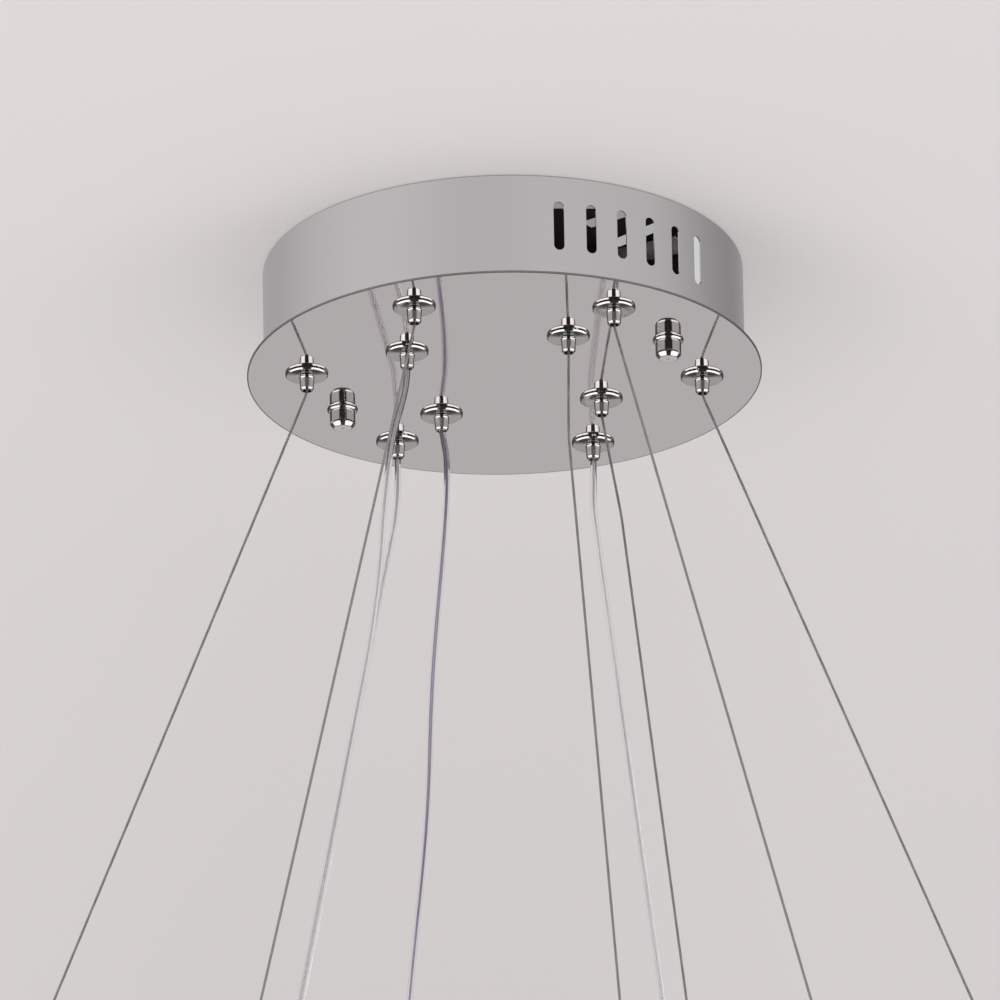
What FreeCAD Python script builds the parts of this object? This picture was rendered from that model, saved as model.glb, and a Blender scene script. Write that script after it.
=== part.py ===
"""Ceiling canopy of a ring chandelier, with its cable grips, suspension wires and supply cables.

Millimetres, +Z up. The origin is the middle of the face that lies against the ceiling.
The canopy hangs below it: a ceiling strap, a drum with vents, and a polished plate that
carries ten grips. Six steel wires and four clear cables leave the grips for the rings.
"""

import FreeCAD, Part

import math
import os

import Sketcher
from FreeCAD import Placement, Rotation, Vector

os.makedirs("parts", exist_ok=True)
doc = FreeCAD.newDocument("canopy")

# ---------------------------------------------------------------- driving dimensions

SIZES = [
    # canopy shell
    ("plate_diameter", 300),
    ("plate_thickness", 1.2),
    ("canopy_height", 65.5),
    ("plate_overhang", 9.8),
    ("drum_wall", 0.8),
    ("vent_width", 6.2),
    ("vent_height", 30.2),
    ("vent_centre_depth", 31),
    ("vent_count", 6),
    ("vent_span", 40),
    ("vent_turn", 10),
    # where the grips and studs stand; the margins are in from the plate's rim
    ("outer_margin", 34.7),
    ("stud_margin", 43.7),
    ("stud_angle", 150),
    ("inner_circle", 67.6),
    # ceiling strap and its studs
    ("strap_width", 22),
    ("strap_thickness", 1.5),
    ("strap_flat", 110),
    ("strap_step", 6),
    ("strap_step_run", 7),
    ("strap_end_margin", 11),
    ("screw_circle", 70),
    ("screw_hole", 5),
    ("stud_diameter", 5),
    ("stud_reach", 8.5),
    ("hole_clearance", 0.1),
    ("running_clearance", 0.05),
    # cap nuts
    ("cap_length", 12),
    ("cap_diameter", 15.1),
    ("cap_collar_diameter", 18),
    ("cap_collar_height", 1.7),
    ("cap_bore_spare", 0.6),
    ("cap_seat_gap", 0.1),
    # cable grips
    ("flange_diameter", 25.3),
    ("flange_thickness", 1.4),
    ("core_diameter", 5.4),
    ("core_recess", 1.1),
    ("grip_length", 10.2),
    ("sleeve_diameter", 8.8),
    ("sleeve_travel", 1.2),
    ("nipple_diameter", 10),
    ("lock_nut_across", 14),
    ("lock_nut_height", 4),
    # electrical pieces inside the canopy
    ("driver_length", 118),
    ("driver_width", 36),
    ("driver_height", 26),
    ("driver_corner", 2.5),
    ("driver_spacing", 39),
    ("driver_turn", 165),
    ("pad_thickness", 1),
    ("pad_margin", 4),
    ("terminal_length", 32),
    ("terminal_width", 17),
    ("terminal_height", 14),
    ("terminal_distance", 86),
    ("terminal_angle", 256),
    # suspension wires, supply cables and what is on their ends
    ("wire_diameter", 1.6),
    ("cable_diameter", 3.6),
    ("wire_end_diameter", 4),
    ("wire_end_length", 18),
    ("cable_plug_diameter", 9),
    ("cable_plug_length", 24),
]

# Sizes that follow from the others, so that the drum, grips and studs move with the plate's rim.
WORKED_OUT = [
    ("drum_diameter", "=plate_diameter - 2 * plate_overhang"),
    ("outer_circle", "=plate_diameter / 2 - outer_margin"),
    ("stud_circle", "=plate_diameter / 2 - stud_margin"),
]

sheet = doc.addObject("Spreadsheet::Sheet", "sizes")
for row, (alias, value) in enumerate(SIZES + WORKED_OUT, start=1):
    sheet.set(f"A{row}", alias)
    sheet.set(f"B{row}", str(value))
    sheet.setAlias(f"B{row}", alias)
doc.recompute()


def size(alias):
    """A driving dimension as a number."""
    return float(sheet.get(alias))


# Grips by name: the circle they stand on and their angle from +X, in degrees.
WIRE_GRIPS = [
    ("outer_circle", 180),
    ("outer_circle", 240),
    ("outer_circle", 300),
    ("outer_circle", 0),
    ("inner_circle", 300),
    ("inner_circle", 30),
]
CABLE_GRIPS = [
    ("inner_circle", 210),
    ("inner_circle", 120),
    ("outer_circle", 120),
    ("outer_circle", 60),
]

# Each route lies in the upright plane through the middle and its own grip. Its points are
# (outward from the grip's axis, down from the plate's face), chosen by hand.
WIRE_ROUTES = [
    [(0, 9.1), (0, 12.1), (150.5, 394.5)],
    [(0, 9.1), (0, 12.1), (202.7, 498.8)],
    [(0, 9.1), (0, 12.1), (183.6, 491)],
    [(0, 9.1), (0, 12.1), (148.7, 392)],
    [(0, 9.1), (-2, 60), (39.8, 428.6)],
    [(0, 9.1), (0, 12.1), (12.2, 70), (51.3, 370.2)],
]
CABLE_ROUTES = [
    [(0, 10.2), (0, 22), (11, 55), (17.6, 100), (20.5, 138), (27.9, 187), (79.8, 421.9)],
    [
        (0, 10.2),
        (-0.5, 22),
        (-3.2, 52),
        (0.4, 86),
        (11.3, 143),
        (16.4, 182),
        (20.4, 238),
        (28.5, 283),
        (37.2, 320),
        (44.4, 356.6),
    ],
    [(0, 10.2), (-0.3, 24), (2.1, 46), (112.8, 318.7)],
    [(0, 10.2), (0, 24), (-1.4, 42), (78.2, 329.1)],
]

# ---------------------------------------------------------------- helpers


def origin_part(body, role):
    """One of a body's own origin planes or axes."""
    return next(part for part in body.Origin.OriginFeatures if part.Role == role)


def new_body(label):
    body = doc.addObject("PartDesign::Body", label)
    body.Label = label
    return body


def new_sketch(body, name, plane):
    sketch = body.newObject("Sketcher::SketchObject", name)
    sketch.AttachmentSupport = [(origin_part(body, plane), "")]
    sketch.MapMode = "FlatFace"
    return sketch


def number(text):
    """The value of an expression in the sheet's sizes."""
    return float(sheet.evalExpression(text.replace("sizes.", "")))


def bind_point(sketch, curve, end, across, up):
    """Hold a point at an expression's distance across and up from the sketch's origin."""
    for kind, text, axis in (("DistanceX", across, -2), ("DistanceY", up, -1)):
        if text == "0":
            sketch.addConstraint(Sketcher.Constraint("PointOnObject", curve, end, axis))
        else:
            held = Sketcher.Constraint(kind, -1, 1, curve, end, number(text))
            index = sketch.addConstraint(held)
            sketch.setExpression(f"Constraints[{index}]", text)


def draw_outline(sketch, corners):
    """A closed outline of straight lines through corners given as expressions."""
    points = [Vector(number(across), number(up), 0) for across, up in corners]
    count = len(points)
    for index in range(count):
        sketch.addGeometry(Part.LineSegment(points[index], points[(index + 1) % count]), False)
    for index in range(count):
        joined = Sketcher.Constraint("Coincident", index, 2, (index + 1) % count, 1)
        sketch.addConstraint(joined)
    for index, (across, up) in enumerate(corners):
        bind_point(sketch, index, 1, across, up)


def draw_circle(sketch, across, up, radius):
    centre = Vector(number(across), number(up), 0)
    curve = sketch.addGeometry(Part.Circle(centre, Vector(0, 0, 1), number(radius)), False)
    bind_point(sketch, curve, 3, across, up)
    index = sketch.addConstraint(Sketcher.Constraint("Radius", curve, number(radius)))
    sketch.setExpression(f"Constraints[{index}]", radius)


def draw_slot(sketch, middle, height, width):
    """An upright slot with round ends, centred on the sketch's upright axis."""
    radius = number(f"({width}) / 2")
    rise = number(f"({height} - {width}) / 2")
    level = number(middle)
    up = Vector(0, 0, 1)
    top = Part.Circle(Vector(0, level + rise, 0), up, radius)
    bottom = Part.Circle(Vector(0, level - rise, 0), up, radius)
    sketch.addGeometry(Part.ArcOfCircle(top, 0, math.pi), False)
    left = (Vector(-radius, level + rise, 0), Vector(-radius, level - rise, 0))
    sketch.addGeometry(Part.LineSegment(*left), False)
    sketch.addGeometry(Part.ArcOfCircle(bottom, math.pi, 2 * math.pi), False)
    right = (Vector(radius, level - rise, 0), Vector(radius, level + rise, 0))
    sketch.addGeometry(Part.LineSegment(*right), False)
    for first, second in ((0, 1), (1, 2), (2, 3), (3, 0)):
        sketch.addConstraint(Sketcher.Constraint("Tangent", first, 2, second, 1))
    bind_point(sketch, 0, 3, "0", f"{middle} + ({height} - {width}) / 2")
    bind_point(sketch, 2, 3, "0", f"{middle} - ({height} - {width}) / 2")
    sketch.addConstraint(Sketcher.Constraint("Equal", 0, 2))
    index = sketch.addConstraint(Sketcher.Constraint("Radius", 0, radius))
    sketch.setExpression(f"Constraints[{index}]", f"({width}) / 2")


def revolve(body, corners):
    """Turn an outline, in the XZ plane, all the way round the body's own Z axis."""
    sketch = new_sketch(body, "profile", "XZ_Plane")
    draw_outline(sketch, corners)
    turned = body.newObject("PartDesign::Revolution", "turned")
    turned.Profile = sketch
    turned.ReferenceAxis = (sketch, ["V_Axis"])
    turned.Angle = 360
    return turned


def cut_through(body, sketch, name, length, reversed_way=False):
    """A pocket, which has to take something off the solid."""
    doc.recompute()
    before = body.Shape.Volume
    pocket = body.newObject("PartDesign::Pocket", name)
    pocket.Profile = sketch
    pocket.Reversed = reversed_way
    pocket.setExpression("Length", length)
    doc.recompute()
    if not body.Shape.Volume < before - 1e-6:
        raise RuntimeError(f"{body.Label}: {name} cuts nothing")
    return pocket


def repeat_round(body, feature, name, count, span):
    """Copies of a feature round the body's Z axis; span is the angle from first to last."""
    pattern = body.newObject("PartDesign::PolarPattern", name)
    pattern.Originals = [feature]
    pattern.Axis = (origin_part(body, "Z_Axis"), [""])
    pattern.setExpression("Occurrences", count)
    pattern.setExpression("Angle", span)
    body.Tip = pattern
    doc.recompute()
    return pattern


def bevel_upright_edges(body, reach, across):
    """Cut off the upright corners at this distance along X, either way."""
    base = body.Tip
    names = []
    for index, edge in enumerate(body.Shape.Edges, start=1):
        box = edge.BoundBox
        straight = box.XLength < 0.01 and box.YLength < 0.01
        if straight and abs(abs(box.Center.x) - reach) < 0.01:
            names.append(f"Edge{index}")
    bevelled = body.newObject("PartDesign::Chamfer", "bevelled")
    bevelled.Base = (base, names)
    bevelled.setExpression("Size", across)
    body.Tip = bevelled


def put(thing, x="0", y="0", z="0"):
    """Bind a sub-part's place to expressions."""
    for axis, text in (("x", x), ("y", y), ("z", z)):
        if text != "0":
            thing.setExpression(f"Placement.Base.{axis}", text)


def put_on_circle(thing, circle, angle, z="0"):
    put(thing, f"sizes.{circle} * cos({angle})", f"sizes.{circle} * sin({angle})", z)


def turn(thing, angle):
    """Turn a sub-part about its own upright axis by an expression in degrees."""
    thing.Placement = Placement(thing.Placement.Base, Rotation(Vector(0, 0, 1), 1))
    thing.setExpression("Placement.Rotation.Angle", angle)


def group(label, members):
    """Several solids of one kind, kept as one sub-part."""
    together = doc.addObject("Part::Compound", label)
    together.Label = label
    together.Links = members
    return together


TUBE_SIDES = 8
PLATE_FACE = "-sizes.canopy_height"
PLATE_TOP = "-sizes.canopy_height + sizes.plate_thickness"

# ---------------------------------------------------------------- canopy shell


def make_plate():
    """The round polished plate, with holes for the grips and the two studs."""
    body = new_body("canopy_plate")
    disc_sketch = new_sketch(body, "disc_outline", "XY_Plane")
    draw_circle(disc_sketch, "0", "0", "sizes.plate_diameter / 2")
    disc = body.newObject("PartDesign::Pad", "disc")
    disc.Profile = disc_sketch
    disc.setExpression("Length", "sizes.plate_thickness")
    nipple_hole = "sizes.nipple_diameter / 2 + sizes.hole_clearance"
    stud_hole = "sizes.stud_diameter / 2 + sizes.hole_clearance"
    rows = [
        ("outer_holes", "outer_circle", "0 deg", nipple_hole, "6", "300"),
        ("inner_holes", "inner_circle", "30 deg", nipple_hole, "4", "270"),
        ("stud_holes", "stud_circle", "sizes.stud_angle * 1 deg", stud_hole, "2", "180"),
    ]
    for name, circle, angle, radius, count, span in rows:
        sketch = new_sketch(body, f"{name}_outline", "XY_Plane")
        across = f"sizes.{circle} * cos({angle})"
        up = "0" if angle == "0 deg" else f"sizes.{circle} * sin({angle})"
        draw_circle(sketch, across, up, radius)
        hole = cut_through(body, sketch, name, "sizes.plate_thickness", True)
        repeat_round(body, hole, f"{name}_round", count, span)
    put(body, z=PLATE_FACE)
    return body


def make_drum():
    """The thin drum between the plate and the ceiling, with a row of vent slots."""
    body = new_body("canopy_drum")
    outside = "sizes.drum_diameter / 2"
    inside = "sizes.drum_diameter / 2 - sizes.drum_wall"
    revolve(body, [(outside, "0"), (outside, PLATE_TOP), (inside, PLATE_TOP), (inside, "0")])
    sketch = new_sketch(body, "vent_outline", "XZ_Plane")
    draw_slot(sketch, "-sizes.vent_centre_depth", "sizes.vent_height", "sizes.vent_width")
    vent = cut_through(body, sketch, "vent", "sizes.drum_diameter", True)
    repeat_round(body, vent, "vents", "sizes.vent_count", "sizes.vent_span")
    turn(body, "sizes.vent_turn")
    return body


# ---------------------------------------------------------------- ceiling strap


def make_strap():
    """A flat bar against the ceiling whose ends step down to carry the two studs."""
    body = new_body("ceiling_strap")
    flat = "sizes.strap_flat / 2"
    step = "sizes.strap_flat / 2 + sizes.strap_step_run"
    end = "sizes.stud_circle + sizes.strap_end_margin"
    upper = "-sizes.strap_step"
    lower = "-sizes.strap_step - sizes.strap_thickness"
    right = [(flat, "0"), (step, upper), (end, upper), (end, lower)]
    right += [(step, lower), (flat, "-sizes.strap_thickness")]
    left = [(f"-({across})", up) for across, up in reversed(right)]
    sketch = new_sketch(body, "side_view", "XZ_Plane")
    draw_outline(sketch, right + left)
    bar = body.newObject("PartDesign::Pad", "bar")
    bar.Profile = sketch
    bar.Midplane = True
    bar.setExpression("Length", "sizes.strap_width")
    doc.recompute()

    hole_sketch = new_sketch(body, "screw_hole_outline", "XY_Plane")
    draw_circle(hole_sketch, "sizes.screw_circle / 2", "0", "sizes.screw_hole / 2")
    hole = cut_through(body, hole_sketch, "screw_hole", "sizes.strap_thickness")
    repeat_round(body, hole, "screw_holes", "2", "180")
    turn(body, "sizes.stud_angle")
    return body


def stud_spot(side):
    """The angle of the studs' first place, and of the one across from it."""
    return "sizes.stud_angle * 1 deg" + (" + 180 deg" if side else "")


def make_studs():
    """Two studs welded under the strap's ends, which pass through the plate."""
    studs = []
    for side in range(2):
        stud = doc.addObject("Part::Cylinder", f"strap_stud_{side + 1}")
        stud.setExpression("Radius", "sizes.stud_diameter / 2")
        under_strap = "sizes.strap_step + sizes.strap_thickness"
        drop = f"sizes.canopy_height + sizes.stud_reach - ({under_strap})"
        stud.setExpression("Height", drop)
        tip = "-sizes.canopy_height - sizes.stud_reach"
        put_on_circle(stud, "stud_circle", stud_spot(side), tip)
        studs.append(stud)
    return group("strap_studs", studs)


def make_cap_nut(label, side):
    """A round cap nut under the plate: collar, barrel and a blind hole for the stud."""
    body = new_body(label)
    hole = "sizes.stud_diameter / 2 + sizes.running_clearance"
    barrel = "sizes.cap_diameter / 2"
    collar = "sizes.cap_collar_diameter / 2"
    hole_end = "-sizes.stud_reach - sizes.cap_bore_spare"
    collar_end = "-sizes.cap_collar_height"
    revolve(
        body,
        [
            (hole, "-sizes.cap_seat_gap"),
            (collar, "-sizes.cap_seat_gap"),
            (collar, collar_end),
            (barrel, collar_end),
            (barrel, "-sizes.cap_length"),
            ("0", "-sizes.cap_length"),
            ("0", hole_end),
            (hole, hole_end),
        ],
    )
    put_on_circle(body, "stud_circle", stud_spot(side), PLATE_FACE)
    return body


# ---------------------------------------------------------------- cable grips


def make_grip_body(name, circle, angle, stem, stem_end):
    """A flange against the plate, the stem below it, and a nipple with its lock nut above."""
    body = new_body(f"{name}_turned")
    nipple = "sizes.nipple_diameter / 2"
    nipple_top = "sizes.plate_thickness + sizes.lock_nut_height / 2"
    flange = "sizes.flange_diameter / 2"
    flange_end = "-sizes.flange_thickness"
    revolve(
        body,
        [
            ("0", nipple_top),
            (nipple, nipple_top),
            (nipple, "0"),
            (flange, "0"),
            (flange, flange_end),
            (f"sizes.{stem} / 2", flange_end),
            (f"sizes.{stem} / 2", stem_end),
            ("0", stem_end),
        ],
    )
    nut = doc.addObject("Part::Prism", f"{name}_nut")
    nut.Polygon = 6
    nut.setExpression("Circumradius", "sizes.lock_nut_across / 2 / cos(30 deg)")
    nut.setExpression("Height", "sizes.lock_nut_height")
    put(nut, z="sizes.plate_thickness")
    whole = doc.addObject("Part::MultiFuse", name)
    whole.Shapes = [body, nut]
    put_on_circle(whole, circle, f"{angle} deg", PLATE_FACE)
    return whole


def make_sleeve(name, circle, angle):
    """The release sleeve, which is pushed up along the core to free the wire."""
    body = new_body(name)
    bore = "sizes.core_diameter / 2 + sizes.running_clearance"
    outside = "sizes.sleeve_diameter / 2"
    top = "-sizes.flange_thickness - sizes.sleeve_travel"
    end = "-sizes.grip_length"
    revolve(body, [(bore, top), (outside, top), (outside, end), (bore, end)])
    put_on_circle(body, circle, f"{angle} deg", PLATE_FACE)
    return body


def make_grips():
    """Six wire grips with release sleeves, and four cable grips of the same outline."""
    made = []
    bodies = []
    core_end = "-sizes.grip_length + sizes.core_recess"
    for index, (circle, angle) in enumerate(WIRE_GRIPS, start=1):
        name = f"wire_grip_body_{index}"
        bodies.append(make_grip_body(name, circle, angle, "core_diameter", core_end))
        made.append(make_sleeve(f"wire_grip_sleeve_{index}", circle, angle))
    made.append(group("wire_grip_bodies", bodies))
    bodies = []
    for index, (circle, angle) in enumerate(CABLE_GRIPS, start=1):
        name = f"cable_grip_body_{index}"
        barrel_end = "-sizes.grip_length"
        bodies.append(make_grip_body(name, circle, angle, "sleeve_diameter", barrel_end))
    made.append(group("cable_grip_bodies", bodies))
    return made


# ---------------------------------------------------------------- inside the canopy


def make_driver(label, side):
    """A moulded power supply, a long box with bevelled upright corners."""
    body = new_body(label)
    sketch = new_sketch(body, "plan", "XY_Plane")
    ends = ("-sizes.driver_length / 2", "sizes.driver_length / 2")
    near = f"{side} * sizes.driver_spacing / 2 - sizes.driver_width / 2"
    far = f"{side} * sizes.driver_spacing / 2 + sizes.driver_width / 2"
    draw_outline(sketch, [(ends[0], near), (ends[1], near), (ends[1], far), (ends[0], far)])
    case = body.newObject("PartDesign::Pad", "case")
    case.Profile = sketch
    case.setExpression("Length", "sizes.driver_height")
    doc.recompute()
    bevel_upright_edges(body, size("driver_length") / 2, "sizes.driver_corner")
    put(body, z=f"{PLATE_TOP} + sizes.pad_thickness")
    turn(body, "sizes.driver_turn")
    return body


def make_pads():
    """Adhesive foam pads between the power supplies and the plate."""
    pads = []
    for side in (-1, 1):
        body = new_body(f"driver_pad_{len(pads) + 1}")
        sketch = new_sketch(body, "plan", "XY_Plane")
        reach = "(sizes.driver_length / 2 - sizes.pad_margin)"
        middle = f"{side} * sizes.driver_spacing / 2"
        near = f"{middle} - sizes.driver_width / 2 + sizes.pad_margin"
        far = f"{middle} + sizes.driver_width / 2 - sizes.pad_margin"
        corners = [(f"-{reach}", near), (reach, near), (reach, far), (f"-{reach}", far)]
        draw_outline(sketch, corners)
        pad = body.newObject("PartDesign::Pad", "foam")
        pad.Profile = sketch
        pad.setExpression("Length", "sizes.pad_thickness")
        put(body, z=PLATE_TOP)
        turn(body, "sizes.driver_turn")
        pads.append(body)
    return group("driver_pads", pads)


def make_terminal_block():
    """The mains terminal block, with a stepped cross-section, on the plate."""
    body = new_body("terminal_block")
    sketch = new_sketch(body, "section", "XZ_Plane")
    wide = "sizes.terminal_width / 2"
    narrow = "sizes.terminal_width / 4"
    shoulder = "sizes.terminal_height * 0.6"
    draw_outline(
        sketch,
        [
            (f"-{wide}", "0"),
            (wide, "0"),
            (wide, shoulder),
            (narrow, "sizes.terminal_height"),
            (f"-{narrow}", "sizes.terminal_height"),
            (f"-{wide}", shoulder),
        ],
    )
    block = body.newObject("PartDesign::Pad", "block")
    block.Profile = sketch
    block.Midplane = True
    block.setExpression("Length", "sizes.terminal_length")
    angle = "sizes.terminal_angle * 1 deg"
    put_on_circle(body, "terminal_distance", angle, PLATE_TOP)
    turn(body, "sizes.terminal_angle")
    return body


# ---------------------------------------------------------------- wires and cables


def tangent_path(points):
    """Straight runs joined by tangent arcs, each as large as its two runs allow."""
    edges = []
    radii = []
    last = points[0]
    for before, corner, after in zip(points, points[1:], points[2:]):
        run_in = corner - before
        run_out = after - corner
        bend = run_in.getAngle(run_out)
        shorter = min(run_in.Length, run_out.Length)
        radius = 0.45 * shorter / math.tan(bend / 2)
        radii.append(radius)
        back = corner - run_in.normalize() * (radius * math.tan(bend / 2))
        ahead = corner + run_out.normalize() * (radius * math.tan(bend / 2))
        inward = (back + ahead) * 0.5 - corner
        middle_off = radius / math.cos(bend / 2) - radius
        middle = corner + inward.normalize() * middle_off
        edges.append(Part.LineSegment(last, back).toShape())
        edges.append(Part.Arc(back, middle, ahead).toShape())
        last = ahead
    edges.append(Part.LineSegment(last, points[-1]).toShape())
    return Part.Wire(edges), radii


def make_line(label, circle, angle, route, diameter):
    """A wire or cable along its route, as one tube of eight flat sides."""
    points = [Vector(out, 0, -down) for out, down in route]
    path, radii = tangent_path(points)
    radius = diameter / 2
    turns = [2 * math.pi * side / TUBE_SIDES for side in range(TUBE_SIDES)]
    rim = [Vector(radius * math.cos(turned), radius * math.sin(turned), 0) for turned in turns]
    section = Part.makePolygon(rim + rim[:1])
    section.Placement = Placement(points[0], Rotation(Vector(0, 0, 1), points[1] - points[0]))
    tube = path.makePipeShell([section], True, False)
    area = TUBE_SIDES / 2 * radius**2 * math.sin(2 * math.pi / TUBE_SIDES)
    expected = area * path.Length
    if abs(tube.Volume / expected - 1) > 0.005:
        raise RuntimeError(f"{label}: volume is {tube.Volume:.1f}, expected {expected:.1f}")
    line = doc.addObject("Part::Feature", label)
    line.Label = label
    line.Shape = tube
    line.Placement = grip_frame(circle, angle)
    rounded = ", ".join(f"{bend:.0f}" for bend in radii)
    print(f"{label}: {path.Length:.1f} mm long, bend radii {rounded} mm")
    return line


def grip_frame(circle, angle):
    """The place of a grip's seat on the plate's face, with X pointing outwards."""
    turned = math.radians(angle)
    reach = size(circle)
    base = Vector(reach * math.cos(turned), reach * math.sin(turned), -size("canopy_height"))
    return Placement(base, Rotation(Vector(0, 0, 1), angle))


def route_end(circle, angle, route):
    """The place of a route's last point, with Z pointing back along the route."""
    (out_before, down_before), (out, down) = route[-2:]
    back = Vector(out_before - out, 0, down - down_before)
    local = Placement(Vector(out, 0, -down), Rotation(Vector(0, 0, 1), back))
    return grip_frame(circle, angle).multiply(local)


def make_fitting(kind, index):
    """A round fitting whose top meets the end of a line: a threaded terminal or a plug."""
    fitting = doc.addObject("Part::Cylinder", f"{kind}_{index}_blank")
    fitting.setExpression("Radius", f"sizes.{kind}_diameter / 2")
    fitting.setExpression("Height", f"sizes.{kind}_length")
    put(fitting, z=f"-sizes.{kind}_length")
    placed = doc.addObject("Part::Compound", f"{kind}_{index}")
    placed.Links = [fitting]
    return placed


def make_lines():
    """Suspension wires and supply cables with what is on their lower ends."""
    made = []
    rows = [
        ("suspension_wire", "wire", "wire_end", WIRE_GRIPS, WIRE_ROUTES),
        ("supply_cable", "cable", "cable_plug", CABLE_GRIPS, CABLE_ROUTES),
    ]
    for name, line, end, places, routes in rows:
        fittings = []
        for index, ((circle, angle), route) in enumerate(zip(places, routes), start=1):
            diameter = size(f"{line}_diameter")
            made.append(make_line(f"{name}_{index}", circle, angle, route, diameter))
            fitting = make_fitting(end, index)
            fitting.Placement = route_end(circle, angle, route)
            fittings.append(fitting)
        made.append(group(f"{end}s", fittings))
    return made


# ---------------------------------------------------------------- the whole part

subparts = [
    make_plate(),
    make_drum(),
    make_strap(),
    make_studs(),
    make_cap_nut("cap_nut_left", 0),
    make_cap_nut("cap_nut_right", 1),
    make_driver("led_driver_front", -1),
    make_driver("led_driver_back", 1),
    make_pads(),
    make_terminal_block(),
]
subparts += make_grips()
subparts += make_lines()

doc.recompute()
for thing in doc.Objects:
    if "Invalid" in thing.State or "Error" in thing.State:
        raise RuntimeError(f"{thing.Label} failed: {thing.State}")

for subpart in subparts:
    shape = subpart.Shape
    if shape.isNull() or not shape.isValid() or not shape.Solids:
        raise RuntimeError(f"{subpart.Label} has no valid solid")
    shape.exportStep(f"parts/{subpart.Label}.step")
print(f"{len(subparts)} sub-parts written")
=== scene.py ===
"""A round, polished ceiling canopy seen from below, with the wires and cables that hang from it."""

import math

import bmesh
import bpy
from mathutils import Matrix, Vector


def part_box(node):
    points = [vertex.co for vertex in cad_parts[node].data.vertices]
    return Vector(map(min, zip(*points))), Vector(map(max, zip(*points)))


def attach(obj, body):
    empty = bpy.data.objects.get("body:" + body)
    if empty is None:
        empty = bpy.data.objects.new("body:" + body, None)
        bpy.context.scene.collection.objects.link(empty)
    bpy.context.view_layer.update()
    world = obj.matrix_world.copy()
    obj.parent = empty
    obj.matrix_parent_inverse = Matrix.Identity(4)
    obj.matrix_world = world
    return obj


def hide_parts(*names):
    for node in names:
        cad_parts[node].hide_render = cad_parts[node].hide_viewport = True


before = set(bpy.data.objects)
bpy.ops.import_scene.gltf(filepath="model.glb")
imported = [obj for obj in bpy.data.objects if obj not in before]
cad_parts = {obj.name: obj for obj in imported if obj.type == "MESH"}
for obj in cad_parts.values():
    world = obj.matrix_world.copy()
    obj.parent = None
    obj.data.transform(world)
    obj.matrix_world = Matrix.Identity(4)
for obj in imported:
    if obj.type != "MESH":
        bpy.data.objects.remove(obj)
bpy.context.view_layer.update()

# ---------------------------------------------------------------- measures

# outlines and sizes are in millimetres; what comes from the frame or is times MM is in metres
MM = 0.001
FULL_TURN = 2 * math.pi
# points nearer than this, in metres, are one: in a turned piece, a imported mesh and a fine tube
WELD = 1e-7
WELD_PACKED = 1e-6
WELD_FINE = 1e-8

plate_low, plate_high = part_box("canopy_plate")
PLATE_FACE, PLATE_TOP = plate_low.z, plate_high.z
PLATE_RADIUS = plate_high.x
PLATE_THICKNESS = (PLATE_TOP - PLATE_FACE) / MM
DRUM_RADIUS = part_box("canopy_drum")[1].x
DRUM_WALL = 0.8

OUTER, INNER = 115.3, 67.6
STUD_CIRCLE = 106.3
STUD_ANGLES = {"cap_nut_left": 150, "cap_nut_right": 330}

# Each line, as it stands in the CAD model: the circle its grip is on, the grip's angle from +X in
# degrees, the line's length, and its route as (outward from the grip, down from the plate).
WIRES = [
    (OUTER, 180, 414, [(0, 9.1), (0, 12.1), (150.5, 394.5)]),
    (OUTER, 240, 530, [(0, 9.1), (0, 12.1), (202.7, 498.8)]),
    (OUTER, 300, 516, [(0, 9.1), (0, 12.1), (183.6, 491)]),
    (OUTER, 0, 411, [(0, 9.1), (0, 12.1), (148.7, 392)]),
    (INNER, 300, 422, [(0, 9.1), (-2, 60), (39.8, 428.6)]),
    (INNER, 30, 365, [(0, 9.1), (0, 12.1), (12.2, 70), (51.3, 370.2)]),
]
CABLES = [
    (
        INNER,
        210,
        420,
        [(0, 10.2), (0, 22), (11, 55), (17.6, 100), (20.5, 138), (27.9, 187), (79.8, 421.9)],
    ),
    (
        INNER,
        120,
        350,
        [
            (0, 10.2),
            (-1.6, 17),
            (-5.2, 30),
            (-4.4, 55),
            (0.4, 86),
            (11.3, 143),
            (16.4, 182),
            (20.4, 238),
            (28.5, 283),
            (37.2, 320),
            (44.4, 356.6),
        ],
    ),
    (OUTER, 120, 330, [(0, 10.2), (-0.3, 24), (2.1, 46), (112.8, 318.7)]),
    (OUTER, 60, 330, [(0, 10.2), (0, 24), (-1.4, 42), (78.2, 329.1)]),
]
WIRE_DIAMETER = 1.6
CABLE_DIAMETER = 3.6


def put_in_scene(name, data):
    """A new object with this data, linked to the scene."""
    thing = bpy.data.objects.new(name, data)
    bpy.context.collection.objects.link(thing)
    return thing


# ---------------------------------------------------------------- camera

# the camera's distance and how far it sees are in metres
CAMERA_DISTANCE = 9.0
CAMERA_AZIMUTH = math.radians(-3.539)
CAMERA_DEPRESSION = math.radians(23.143)
CAMERA_ROLL = math.radians(1.007)
CAMERA_REACH = 100
SENSOR = 36.0
FRAME_PIXELS = 1000
PIXELS_PER_METRE = 1716.7
PLATE_CENTRE_PIXEL = (504.54, 374.97)


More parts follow.
